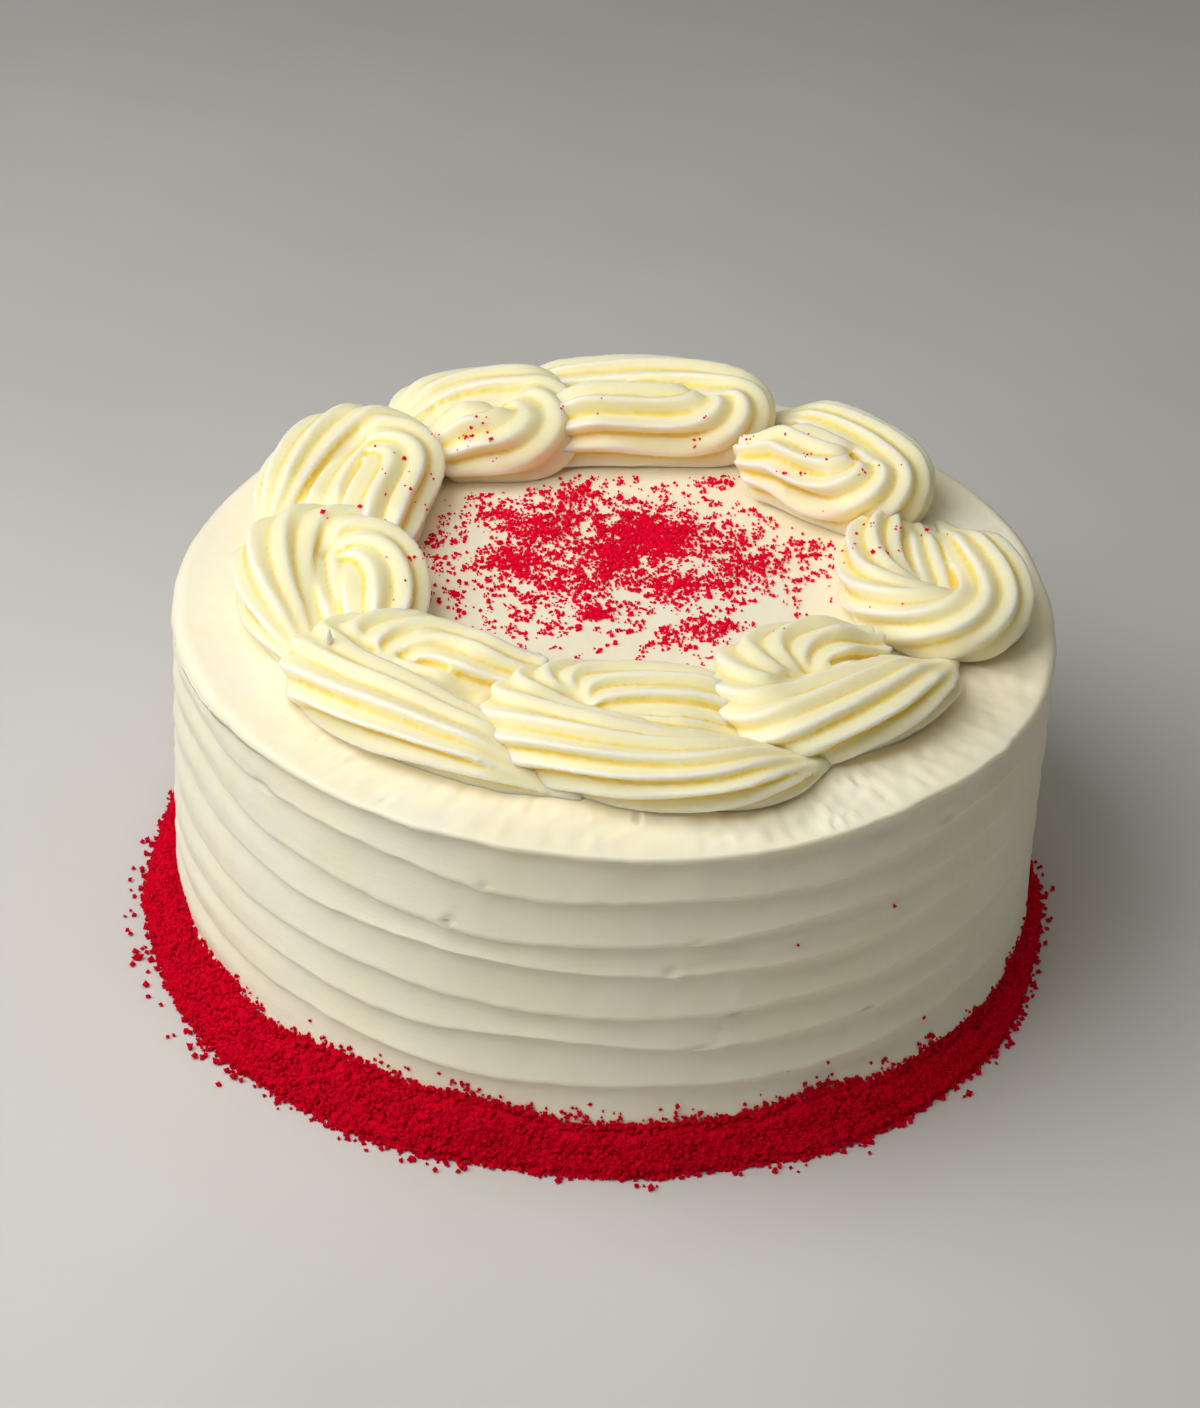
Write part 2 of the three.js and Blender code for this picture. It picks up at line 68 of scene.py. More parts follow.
# teeth; angle on the ring; turn of the nozzle; height over half width; half widths at the start and end;
# then the path's corner points along and across the ring
SCROLLS = {
    "swirl_1": dict(teeth=9, angle=225, turn=145, tall=1.05, widths=(12, 12.5), start=26, inner=-11, lean=-7,
                    back=9, outer=17, settle=-3, bow=-4, reach=50, tail=18),
    "swirl_2": dict(teeth=11, angle=267, turn=77, tall=1.05, widths=(12.5, 13), start=37, inner=-14, lean=9,
                    back=15, outer=11, settle=3, bow=9, reach=50, tail=12),
    "swirl_3": dict(teeth=10, angle=307, turn=64, tall=1.05, widths=(13, 13), start=30, inner=-17, lean=11,
                    back=9, outer=8, settle=1, bow=2, reach=43, tail=11),
    "swirl_4": dict(teeth=9, angle=-3, turn=85, tall=1.35, widths=(10, 11), start=32, inner=-14, lean=11,
                    back=15, outer=19, settle=-2, bow=-7, reach=34, tail=14),
    "swirl_5": dict(teeth=10, angle=41, turn=121, tall=1.45, widths=(13.5, 10), start=20, inner=-9, lean=-4,
                    back=13, outer=9, settle=3, bow=6, reach=36, tail=17),
    "swirl_6": dict(teeth=9, angle=85, turn=111, tall=1.45, widths=(13, 10.5), start=34, inner=-8, lean=-1,
                    back=17, outer=11, settle=3, bow=2, reach=45, tail=18),
    "swirl_7": dict(teeth=8, angle=114, turn=92, tall=1.35, widths=(13, 9.5), start=27, inner=-12, lean=9,
                    back=4, outer=13, settle=5, bow=8, reach=31, tail=18),
    "swirl_8": dict(teeth=8, angle=155, turn=99, tall=1.35, widths=(11.5, 9.5), start=36, inner=-9, lean=-2,
                    back=15, outer=20, settle=-8, bow=-3, reach=30, tail=18),
    "swirl_9": dict(teeth=8, angle=189, turn=75, tall=1.2, widths=(11.5, 10.5), start=34, inner=-14, lean=12,
                    back=12, outer=14, settle=2, bow=1, reach=37, tail=13),
}

CRUMB_HEIGHT = 8.4
CRUMB_FOOT = 6.2
CRUMB_TOP_WIDTH = 1.8
# how the band's height and foot vary round the cake: (waves, mm, degrees)
CRUMB_HEIGHT_WAVES = ((1, 2.0, 225), (2, 1.2, 170), (7, 1.1, 303), (17, 0.6, 73))
CRUMB_FOOT_WAVES = ((1, 2.4, 225), (4, 1.4, 180), (13, 0.5, -25))

# ------------------------------------------------------------------ sizes that only the looks have

# the lower lip of each comb band: mean height, then its waves round the cake as (waves, mm, degrees)
RIM_WAVES = ((2, 0.6, 110), (4, 0.6, 140), (6, 0.5, 105))
LIPS = (
    (72.5, (2, 1.3, 45), (4, 0.9, 170), (9, 0.7, 5)),
    (61.4, (2, 1.8, 40), (3, 2.0, -145), (12, 0.5, 0)),
    (51.6, (2, 0.7, 95), (7, 1.4, 65), (8, 1.3, 150)),
    (39.6, (2, 1.2, 110), (3, 0.9, -150), (6, 0.5, 20)),
    (30.1, (2, 1.1, 165), (7, 0.9, 75), (12, 0.6, -60)),
    (19.9, (2, 1.2, 105), (3, 0.8, -150), (8, 0.6, 60)),
    (9.5, (2, 0.8, 105), (5, 0.6, 30), (9, 0.5, 0)),
)
LIP_STEP = 2.1  # how far a band steps in under the lip above it
RIM_DROP = 1.7  # the top coat's thin edge hangs this far down
SOFT_RIM_DROP = 1.6  # and this much further on the far side
CRISP_SIDE = 283  # the lips are crisp here and soft on the far side

# small marks of the comb and knife on the side: (degrees, height, half width, half height, depth)
NICKS = (
    (224, 73.6, 2.6, 0.9, 0.7),
    (246, 72.8, 3.2, 0.6, 0.5),
    (257, 71.9, 1.2, 0.5, 0.6),
    (252.5, 60.1, 1.2, 0.5, 1.0),
    (283, 60.2, 2.2, 0.35, 0.5),
    (280, 52.6, 1.6, 0.75, 0.8),
    (288, 38.9, 1.8, 0.5, 0.9),
    (286.8, 36, 0.8, 2.6, 0.3),
    (258, 31.3, 1.2, 0.4, 0.5),
    (284, 30.9, 3.2, 0.4, 0.5),
    (307, 30.6, 2.8, 0.5, 0.8),
    (304.5, 26.5, 1.2, 3.6, 0.35),
    (310.5, 27.6, 0.5, 0.7, 0.7),
    (262.5, 28.5, 0.7, 0.5, 0.4),
    (318, 74.6, 1.8, 0.9, 0.6),
    (307.5, 78.5, 1.8, 1.3, 0.3),
    (298.5, 79.8, 0.6, 0.8, 0.3),
)

# marks on the flat top round the ring: (degrees, radius, half width along the rim, half length, depth)
SHELF_MARKS = (
    (256, 102.4, 0.8, 0.8, 0.9),
    (252, 93.6, 0.5, 1.1, 0.4),
    (243, 101.5, 0.5, 3.0, 0.5),
    (232.5, 94.4, 0.6, 1.9, 0.9),
    (237.5, 92, 0.5, 2.2, 0.5),
    (247, 91.3, 0.5, 2.0, 0.4),
    (262.5, 90.5, 0.45, 2.2, 0.4),
    (268.5, 91.5, 0.4, 2.0, 0.3),
    (275.5, 90.4, 0.6, 2.3, 0.9),
    (284, 91, 0.4, 1.8, 0.3),
    (299.6, 97, 0.7, 2.2, 0.9),
    (300.4, 101.8, 0.7, 1.5, 1.0),
    (302.5, 100.6, 0.9, 0.7, 0.6),
    (308.2, 91, 0.8, 1.9, 0.8),
    (306.4, 89, 0.6, 1.3, 0.4),
    (320, 94, 0.6, 1.6, 0.35),
    (327, 97, 0.5, 2.4, 0.3),
    (336, 95, 0.5, 2.2, 0.3),
    (221, 93.3, 1.2, 0.9, 0.7),
    (227.5, 92.6, 0.7, 1.0, 0.6),
)
MARK_STRENGTH = 1.5  # by which the depths of both kinds of marks are multiplied
FLAP = dict(low=284, high=312, fade=8, height=54.8, depth=0.55)  # a loose edge of frosting on the side
PATCH = dict(low=291.6, high=299, inner=94, outer=103.2, depth=1.15)  # where the knife lifted the frosting

FINE_ARC = (192, 348)  # the finely meshed front of the cake, degrees
FINE_STEP = 0.58
COARSE_STEP = 1.25

VOXEL = 0.62  # of the scrolls' remeshing
STATIONS = 230
TONGUE_STATIONS = 60
LINE_POINTS = 3000
SECTION_POINTS = 190
SUNK = 0.6  # how far the raw strands reach into the cake

BAND_COLUMNS = 1100
BAND_ROWS = 32
BAND_GRAINS = 14500
EDGE_SHARE = 0.34  # grains at the band's ragged top edge, as a share of those on it
CORNER_SHARE = 0.16  # between the band and the frosting
LOOSE_SHARE = 0.10  # in front of the foot
ROLLED_AWAY = 26
GRAIN_SIZES = (0.8, 1.05, 1.35, 1.8)
GRAIN_SIZE_SHARES = (0.3, 0.38, 0.24, 0.08)
CRUMB_SIZES = (0.45, 0.65, 0.9, 1.25)
CRUMB_SIZE_SHARES = (0.35, 0.38, 0.21, 0.06)
CRUMBS_ON_SCROLLS = 0.16  # the share of those above a scroll that stay
TOP_GRAINS = 12500  # at most

# patches of crumbs on the top: (x, y, half length, half width, turn in degrees, grains)
PATCHES = (
    (7, 28, 8, 6, 10, 540),
    (-2, 16, 6, 7, 30, 430),
    (8, 21, 6, 4, 0, 200),
    (-21, 26, 7, 4, 10, 300),
    (-24, 11, 6, 6, 0, 330),
    (-30, 31, 5, 4, 0, 90),
    (-5, -10, 2.2, 2, 0, 110),
    (13, 4, 5, 5, 0, 240),
    (23, -15, 7, 4.5, 20, 120),
    (12, -19, 2, 4, 0, 60),
    (40, 37, 5, 4, -30, 50),
    (47, 24, 5, 4, -30, 55),
    (31, 13, 6, 4, 0, 60),
    (24, 6, 4, 3, 0, 60),
    (-37, 47, 6, 1.6, 5, 60),
    (-22, -15, 9, 5, -10, 60),
    (-14, -17, 6, 4, 0, 30),
    (-39, -9, 7, 5, 0, 40),
    (-46, 18, 4, 5, 0, 50),
    (-12, 45, 5, 4, 0, 80),
    (29, 55, 4, 3, 30, 40),
    (20, 53, 4, 2, 0, 30),
    (-8, 2, 12, 9, 0, 260),
    (-10, 36, 22, 7, 0, 300),
    (22, 26, 16, 9, 0, 260),
    (2, 14, 42, 27, 0, 2100),
)
# single crumbs that lie on the side: (degrees, height)
SIDE_SPECKS = (
    (296, 54.6),
    (310, 56.4),
    (296.2, 18.7),
    (302, 17.2),
    (318, 17),
    (233, 16.5),
    (252, 16.4),
    (271, 14.8),
)
SPECK_SIZE = 0.9

CREAM = (0.93, 0.89, 0.73)
CREAM_WARM = (0.94, 0.87, 0.66)
CREAM_SMEAR = (0.95, 0.91, 0.78)
PIPING = (1.0, 0.885, 0.59)
# the next two colours are painted light: a painted highlight whitening the piping's crests, then painted
# shade deepening the yellow in its grooves
PIPING_PAINTED_HIGHLIGHT = (1.0, 0.945, 0.83)
PIPING_PAINTED_GROOVE_SHADE = (1.0, 0.76, 0.14)
# the band's two reds are the top crumbs' reds darkened with painted shade, for crumbs that sit low round the
# foot
SHADED_BAND_RED = (0.95, 0.0, 0.036)
SHADED_BAND_DARK = (0.58, 0.0, 0.016)
TOP_RED = (1.0, 0.006, 0.06)
TOP_DARK = (0.85, 0.001, 0.04)
FLOOR_DARK = (0.60, 0.595, 0.59)
FLOOR_PALE = (0.64, 0.635, 0.63)
NOISE_ROUGHNESS = 0.55

random = np.random.default_rng(11)
HASH_PRIMES = (73856093, 19349663, 83492791)  # of the lattice noise


# ------------------------------------------------------------------ helpers


def smooth(t):
    t = np.clip(t, 0, 1)
    return t * t * (3 - 2 * t)


def window(value, low, high, edge):
    """1 between low and high, falling to 0 over edge outside them."""
    return smooth((value - low) / edge + 1) * smooth((high - value) / edge + 1)


def waves(angle, terms):
    """Sum of waves round the cake, angle in degrees."""
    return sum(size * np.cos(np.radians(count * angle - at)) for count, size, at in terms)


def noise(x, y, z=0.0, seed=0):
    """Smooth lattice noise from -1 to 1 with a cell of 1."""
    x, y, z = np.broadcast_arrays(*(np.asarray(v, float) for v in (x, y, z)))
    cell = [np.floor(v).astype(np.int64) for v in (x, y, z)]
    part = [v - c for v, c in zip((x, y, z), cell)]
    part = [p * p * (3 - 2 * p) for p in part]
    total = np.zeros(x.shape)
    for corner in range(8):
        step = [(corner >> k) & 1 for k in range(3)]
        at = [(c + s) * prime for c, s, prime in zip(cell, step, HASH_PRIMES)]
        mixed = at[0] ^ at[1] ^ at[2]
        mixed = (mixed ^ (seed * 40503 + 12345)) & 0xFFFFFFFF
        mixed = ((mixed ^ (mixed >> 15)) * 2246822519) & 0xFFFFFFFF
        mixed = ((mixed ^ (mixed >> 13)) * 3266489917) & 0xFFFFFFFF
        value = ((mixed >> 8) & 0xFFFF) / 32767.5 - 1
        weight = np.ones(x.shape)
        for k in range(3):
            weight = weight * (part[k] if step[k] else 1 - part[k])
        total += weight * value
    return total


def mesh_of(name, points, faces):
    """A mesh from points in millimetres and faces that all have the same number of corners."""
    faces = np.asarray(faces, np.int32)
    mesh = bpy.data.meshes.new(name)
    mesh.vertices.add(len(points))
    mesh.vertices.foreach_set("co", (np.asarray(points, float) * MM).astype(np.float32).ravel())
    mesh.loops.add(faces.size)
    mesh.loops.foreach_set("vertex_index", faces.ravel())
    mesh.polygons.add(len(faces))
    mesh.polygons.foreach_set("loop_start", np.arange(0, faces.size, faces.shape[1], dtype=np.int32))
    mesh.update(calc_edges=True)
    return mesh


def object_of(name, mesh, material=None, smooth_shaded=True):
    made = bpy.data.objects.new(name, mesh)
    bpy.context.scene.collection.objects.link(made)
    mesh.polygons.foreach_set("use_smooth", np.full(len(mesh.polygons), smooth_shaded))
    if material:
        mesh.materials.append(material)
    return made


def piece_of(name, mesh, material, node=None, smooth_shaded=True):
    made = object_of(name, mesh, material, smooth_shaded)
    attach(made, "root")
    if node:
        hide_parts(node)
    return made


def grid_faces(rows, columns, closed=True):
    """Quads of a rows by columns net whose rows close on themselves."""
    i = np.arange(rows - 1)[:, None] * columns
    j = np.arange(columns if closed else columns - 1)[None, :]
    k = (j + 1) % columns
    return np.stack([i + j, i + k, i + columns + k, i + columns + j], -1).reshape(-1, 4)


# ------------------------------------------------------------------ materials


class Nodes:
    """Short ways to add and join shader nodes."""

    def __init__(self, name):
        self.material = bpy.data.materials.new(name)
        self.material.use_nodes = True
        self.tree = self.material.node_tree
        self.shader = self.tree.nodes["Principled BSDF"]

    def add(self, kind, **settings):
        node = self.tree.nodes.new(kind)
        for key, value in settings.items():
            setattr(node, key, value)
        return node

    def join(self, source, target):
        self.tree.links.new(source, target)

    def noise(self, scale, detail=3, stretch=None):
        coordinates = self.add("ShaderNodeTexCoord").outputs["Object"]
        if stretch:
            mapping = self.add("ShaderNodeMapping")
            mapping.inputs["Scale"].default_value = stretch
            self.join(coordinates, mapping.inputs["Vector"])
            coordinates = mapping.outputs["Vector"]
        node = self.add("ShaderNodeTexNoise")
        node.inputs["Scale"].default_value = scale
        node.inputs["Detail"].default_value = detail
        node.inputs["Roughness"].default_value = NOISE_ROUGHNESS
        self.join(coordinates, node.inputs["Vector"])
        return node.outputs["Fac"]

    def ramp(self, value, stops):
        node = self.add("ShaderNodeValToRGB")
        elements = node.color_ramp.elements
        while len(elements) < len(stops):
            elements.new(0.5)
        for element, (at, colour) in zip(elements, stops):
            element.position = at
            element.color = (*colour, 1)
        self.join(value, node.inputs["Fac"])
        return node.outputs["Color"]

    def mix(self, factor, first, second):
        node = self.add("ShaderNodeMix", data_type="RGBA")
        self.join(factor, node.inputs[0])
        for socket, colour in ((node.inputs[6], first), (node.inputs[7], second)):
            if isinstance(colour, tuple):
                socket.default_value = (*colour, 1)
            else:
                self.join(colour, socket)
        return node.outputs[2]

    def spread(self, value, low, high, new_low=0.0, new_high=1.0):
        node = self.add("ShaderNodeMapRange")
        ends = {"From Min": low, "From Max": high, "To Min": new_low, "To Max": new_high}
        for key, number in ends.items():
            node.inputs[key].default_value = number
        self.join(value, node.inputs["Value"])
        return node.outputs["Result"]

    def bump(self, height, strength, distance, before=None):
        node = self.add("ShaderNodeBump")
        node.inputs["Strength"].default_value = strength
        node.inputs["Distance"].default_value = distance
        self.join(height, node.inputs["Height"])
        if before is not None:
            self.join(before, node.inputs["Normal"])
        return node.outputs["Normal"]


def frosting_material():
    n = Nodes("frosting")
    cloudy = n.noise(28, 4)
    fine = n.noise(700, 3)
    smear = n.noise(240, 3, stretch=(1, 1, 7))
    colour = n.ramp(cloudy, ((0.35, CREAM_WARM), (0.6, CREAM)))
    colour = n.mix(n.spread(smear, 0.4, 0.75, 0.0, 0.25), colour, CREAM_SMEAR)
    n.join(colour, n.shader.inputs["Base Color"])
    n.join(n.spread(cloudy, 0.3, 0.7, 0.42, 0.56), n.shader.inputs["Roughness"])
    n.shader.inputs["Subsurface Weight"].default_value = 0.2
    n.shader.inputs["Subsurface Radius"].default_value = (1.0, 0.65, 0.3)
    n.shader.inputs["Subsurface Scale"].default_value = 0.003
    n.shader.inputs["Specular IOR Level"].default_value = 0.35
    normal = n.bump(fine, 0.12, 0.0004)
    normal = n.bump(smear, 0.16, 0.0006, normal)
    n.join(normal, n.shader.inputs["Normal"])
    return n.material


def piping_material():
    n = Nodes("piping")
    pointiness = n.add("ShaderNodeNewGeometry").outputs["Pointiness"]
    # colour by the mesh's pointiness: painted shade, a deeper yellow, in the grooves and a painted highlight
    # on the crests
    stops = ((0.468, PIPING_PAINTED_GROOVE_SHADE), (0.494, PIPING), (0.510, PIPING), (0.532, PIPING_PAINTED_HIGHLIGHT))
    crest = n.ramp(pointiness, stops)
    cloudy = n.noise(60, 3)
    colour = n.mix(n.spread(cloudy, 0.35, 0.7, 0.0, 0.15), crest, PIPING)
    n.join(colour, n.shader.inputs["Base Color"])
    n.join(n.spread(cloudy, 0.3, 0.7, 0.40, 0.52), n.shader.inputs["Roughness"])
    n.shader.inputs["Subsurface Weight"].default_value = 0.65
    n.shader.inputs["Subsurface Radius"].default_value = (1.0, 0.75, 0.18)
    n.shader.inputs["Subsurface Scale"].default_value = 0.005
    n.shader.inputs["Specular IOR Level"].default_value = 0.4
    n.join(n.bump(n.noise(900, 2), 0.08, 0.0003), n.shader.inputs["Normal"])
    return n.material


def crumb_material(name, red, dark):
    n = Nodes(name)
    patches = n.noise(160, 2)
    grain = n.noise(1500, 3)
    colour = n.ramp(patches, ((0.3, dark), (0.5, red)))
    colour = n.mix(n.spread(grain, 0.4, 0.65, 0.0, 0.45), dark, colour)
    n.join(colour, n.shader.inputs["Base Color"])
    n.join(n.spread(grain, 0.3, 0.7, 0.62, 0.9), n.shader.inputs["Roughness"])
    n.shader.inputs["Specular IOR Level"].default_value = 0.04
    n.join(n.bump(grain, 0.6, 0.0005), n.shader.inputs["Normal"])
    return n.material


def floor_material():
    n = Nodes("floor")
    tone = n.noise(6, 3)
    n.join(n.ramp(tone, ((0.3, FLOOR_DARK), (0.7, FLOOR_PALE))), n.shader.inputs["Base Color"])
    n.join(n.spread(tone, 0.3, 0.7, 0.6, 0.7), n.shader.inputs["Roughness"])
    return n.material


# ------------------------------------------------------------------ the cake


def side_radius(z):
    return BASE_RADIUS + (TOP_RADIUS - BASE_RADIUS) * z / CAKE_HEIGHT


def crispness(angle):
    """1 on the side where the lips are crisp, 0 round the back."""
    turn = np.abs((angle - CRISP_SIDE + 180) % 360 - 180)
    return 1 - smooth((turn - 40) / 45)


def lip_heights(angle):
    """The rim's height, the top coat's edge and every lip, a row each."""
    rim = CAKE_HEIGHT + waves(angle, RIM_WAVES)
    crisp = crispness(angle)
    arc = np.radians(angle) * TOP_RADIUS
    edge = rim - RIM_DROP - SOFT_RIM_DROP * (1 - crisp)
    rows = [edge + 0.45 * noise(arc / 6, 3.3, seed=3) + 0.25 * noise(arc / 1.7, 6.3, seed=6)]
    for k, (height, *terms) in enumerate(LIPS):
        ragged = 0.28 * noise(arc / 4.2, 7.7 * k, seed=4) + 0.5 * noise(arc / 17, 3.1 * k, seed=5)
        rows.append(height + waves(angle, terms) + ragged * (0.4 + 0.6 * crisp))
    rows.append(np.zeros_like(angle))
    return rim, rows


def column_angles():
    low, high = FINE_ARC
    fine = np.arange(low, high, FINE_STEP)
    coarse = np.linspace(high, low + 360, int((360 - high + low) / COARSE_STEP), endpoint=False)
    return np.concatenate([fine, coarse])


def side_marks(angle, z, radius):
    """Nicks, smears and one loose flap between two lips, as changes of the radius."""
    turn = np.radians(angle)
    change = 0.10 * noise(turn * 30, z / 9, seed=8) + 0.05 * noise(turn * 90, z / 2.5, seed=9)
    change += 0.25 * noise(turn * 5, z / 30, seed=10)
    for at, height, wide, tall, depth in NICKS:
        depth = MARK_STRENGTH * depth
        along = np.radians((angle - at + 180) % 360 - 180) * radius / wide
        up = (z - height) / tall
        change -= depth * np.exp(-(along**2) - up**2)
        change += 0.45 * depth * np.exp(-((along * 0.8) ** 2) - ((up + 1.7) / 0.8) ** 2)
    flap = window(angle, FLAP["low"], FLAP["high"], FLAP["fade"])
    edge = FLAP["height"] + 0.5 * noise(turn * 22, 0.5, seed=12)
    change -= FLAP["depth"] * flap * smooth((edge - z) / 0.5) * smooth((z - edge + 4) / 3.5)
    return change


def shelf_relief(angle, radius):
    """How far the flat top stands above its mean height."""
    x, y = radius * np.cos(np.radians(angle)), radius * np.sin(np.radians(angle))
    arc = np.radians(angle) * 95
    height = 0.22 * noise(x / 14, y / 14, seed=20) + 0.06 * noise(x / 3.2, y / 3.2, seed=21)
    worked = window(angle, 226, 352, 10) * window(radius, 86, 101, 6)
    slanted = noise(arc / 3.7 + radius / 5, radius / 4, seed=23)
    height += worked * (0.26 * noise(arc / 2.1, radius / 9, seed=22) + 0.2 * slanted)
    left = window(angle, 150, 226, 12) * window(radius, 84, 102, 6)
    height += left * 0.12 * noise(arc / 4, radius / 4, seed=24)
    for at, place, wide, tall, depth in SHELF_MARKS:
        depth = MARK_STRENGTH * depth
        along = np.radians((angle - at + 180) % 360 - 180) * radius / wide
        out = (radius - place) / tall
        height -= depth * np.exp(-(along**2) - out**2)
        height += 0.35 * depth * np.exp(-(((along - 1.8) / 0.9) ** 2) - out**2)
    edge = 0.4 * noise(arc / 1.6, 0.2, seed=25)
    patch = window(angle, PATCH["low"] + 0.5, PATCH["high"] - 0.5, 0.6)
    inside = patch * smooth((radius - PATCH["inner"]) / 5) * smooth((PATCH["outer"] + edge - radius) / 0.8)
    height -= PATCH["depth"] * inside
    lifted = window(angle, PATCH["low"] - 1, PATCH["high"] + 2, 1.5)
    lifted = lifted * np.exp(-(((radius - PATCH["outer"] - 0.9) / 0.8) ** 2))
    height += lifted * (0.7 + 0.45 * noise(arc / 1.1, 0.7, seed=26))
    return height


def cake_mesh():
    angle = column_angles()
    rim, lips = lip_heights(angle)
    crisp = crispness(angle)
    arc = np.radians(angle) * TOP_RADIUS
    rows = []  # (radius, height) for all columns, from the foot up
    for k in range(len(lips) - 2, -1, -1):
        top, low = lips[k], lips[k + 1]
        step = LIP_STEP * (0.62 + 0.38 * crisp) * (1 + 0.25 * noise(arc / 11, 5.1 * k, seed=14))
        step = 0.15 * step if k == len(lips) - 2 else step  # behind the crumbs
        shares = (1, 0.985, 0.95, 0.88, 0.78, 0.64, 0.5, 0.36, 0.22, 0.1, 0.03)
        for t in shares:
            bead = 0.30 * smooth((t - 0.955) / 0.045) if k < len(lips) - 3 else 0
            hard = 1 - t**2 + bead
            soft = 0.5 + 0.5 * math.cos(2 * math.pi * (t - 0.06)) * (1 - 0.35 * t)
            soft = soft * smooth(t / 0.4) if k == 0 else soft
            z = top + (low - top) * t
            z = np.maximum(z, 0) if k < len(lips) - 2 else np.where(t == 1, 0, z)
            depth = step * (crisp * hard + (1 - crisp) * 0.75 * soft)
            radius = side_radius(z) - depth
            rows.append((radius + side_marks(angle, z, radius), z))
    edge_out = 0.25 * crisp + 0.3 * noise(arc / 7, 1.7, seed=15) + 0.35 * noise(arc / 25, 2.7, seed=16)
    edge_out = edge_out + 0.14 * noise(arc / 2.2, 4.7, seed=17)
    rounding = 3.2 - 2.3 * crisp
    outside = TOP_RADIUS + edge_out
    rows.append((outside - 0.35 * crisp, lips[0] + 0.15))
    for turn in (-20, 10, 35, 60, 85):
        c, s = math.cos(math.radians(turn)), math.sin(math.radians(turn))
        rows.append((outside - rounding * (1 - c), rim - rounding * (1 - s)))
    for radius in np.concatenate([np.arange(101.2, 76, -0.85), np.linspace(75, 4, 15)]):
        far = smooth((radius - 60) / 44)
        lifted = rim * far + CAKE_HEIGHT * (1 - far)
        place = np.full_like(angle, radius)
        if radius > 97:
            place = np.minimum(radius, outside - rounding - 0.3 * (101.6 - radius) / 10 - 0.15)
        rows.append((place, lifted + shelf_relief(angle, place) * smooth((104.6 - radius) / 2)))
    columns = len(angle)
    c, s = np.cos(np.radians(angle)), np.sin(np.radians(angle))
    points = np.concatenate([np.stack([r * c, r * s, z + 0 * r], -1) for r, z in rows])
    faces = grid_faces(len(rows), columns)
    foot, crown = len(points), len(points) + 1
    points = np.concatenate([points, [[0, 0, 0], [0, 0, CAKE_HEIGHT]]])
    j = np.arange(columns)
    k = (j + 1) % columns
    last = (len(rows) - 1) * columns
    quads = faces[:, [0, 1, 2, 0, 2, 3]].reshape(-1, 3)
    under = np.stack([k, j, np.full(columns, foot)], -1)
    over = np.stack([last + j, last + k, np.full(columns, crown)], -1)
    return points, np.concatenate([quads, under, over])


# ------------------------------------------------------------------ the scrolls


def spline(corners, count):
    """A uniform cubic B-spline that keeps both ends."""
    corners = np.asarray(corners, float)
    points = np.concatenate([[2 * corners[0] - corners[1]], corners, [2 * corners[-1] - corners[-2]]])
    t = np.linspace(0, len(points) - 3 - 1e-9, count)
    at = np.floor(t).astype(int)
    u = (t - at)[:, None]
    weights = ((1 - u) ** 3, 3 * u**3 - 6 * u**2 + 4, -3 * u**3 + 3 * u**2 + 3 * u + 1, u**3)
    return sum(w * points[at + j] for j, w in enumerate(weights)) / 6


def on_cake(s, along, across):
    """The point of the top at a distance along the ring from a scroll's place, and across the ring."""
    angle = math.radians(s["angle"]) + along / RING_RADIUS
    radius = RING_RADIUS + across
    return np.stack([RING_CENTRE[0] + radius * np.cos(angle), RING_CENTRE[1] + radius * np.sin(angle)], -1)


def strand_line(s):
    """The strand's line, along and across the ring."""
    pinch = 0.175 * (s["outer"] - s["inner"])
    return spline(
        [
            (s["start"], s["inner"] + s["lean"]),
            (0.3 * s["start"], s["inner"]),
            (-s["back"], s["inner"] + pinch),
            (-s["back"], s["outer"] - pinch),
            (s["settle"], s["outer"]),
            (0.55 * s["reach"], s["outer"] + s["bow"]),
            (s["reach"], s["tail"]),
        ],
        LINE_POINTS,
    )


def strand_path(s):
    """Evenly spaced stations of a strand: place, heading and share of its length."""
    line = strand_line(s)
    fine = on_cake(s, line[:, 0], line[:, 1])
    length = np.concatenate([[0], np.cumsum(np.linalg.norm(np.diff(fine, axis=0), axis=1))])
    u = np.linspace(0, 1, STATIONS)
    place = np.stack([np.interp(u * length[-1], length, fine[:, k]) for k in range(2)], -1)
    ahead = np.gradient(place, axis=0)
    return place, np.unwrap(np.arctan2(ahead[:, 1], ahead[:, 0])), u, length[-1]


def half_width(s, u):
    first, last = s["widths"]
    swell = 0.7 + 0.3 * smooth(u / 0.15)
    thin = np.clip((u - TAPER_START) / (1 - TAPER_START), 0, 1) ** 1.6
    pinch = 1 - END_PINCH * smooth((u - PINCH_START) / (1 - PINCH_START))
    return (first * swell + (last - first) * smooth(u)) * (1 - (1 - TIP_WIDTH) * thin) * pinch


def ridge_height(tooth):
    """1 on a ridge and 0 in a groove, with straight flanks and a rounded crest; a tooth is 2 pi wide."""
    away = np.abs((tooth + math.pi) % (2 * math.pi) - math.pi) / math.pi
    r = CREST_ROUNDING
    return 1 - (np.sqrt(away**2 + r**2) - r) / (math.sqrt(1 + r**2) - r)


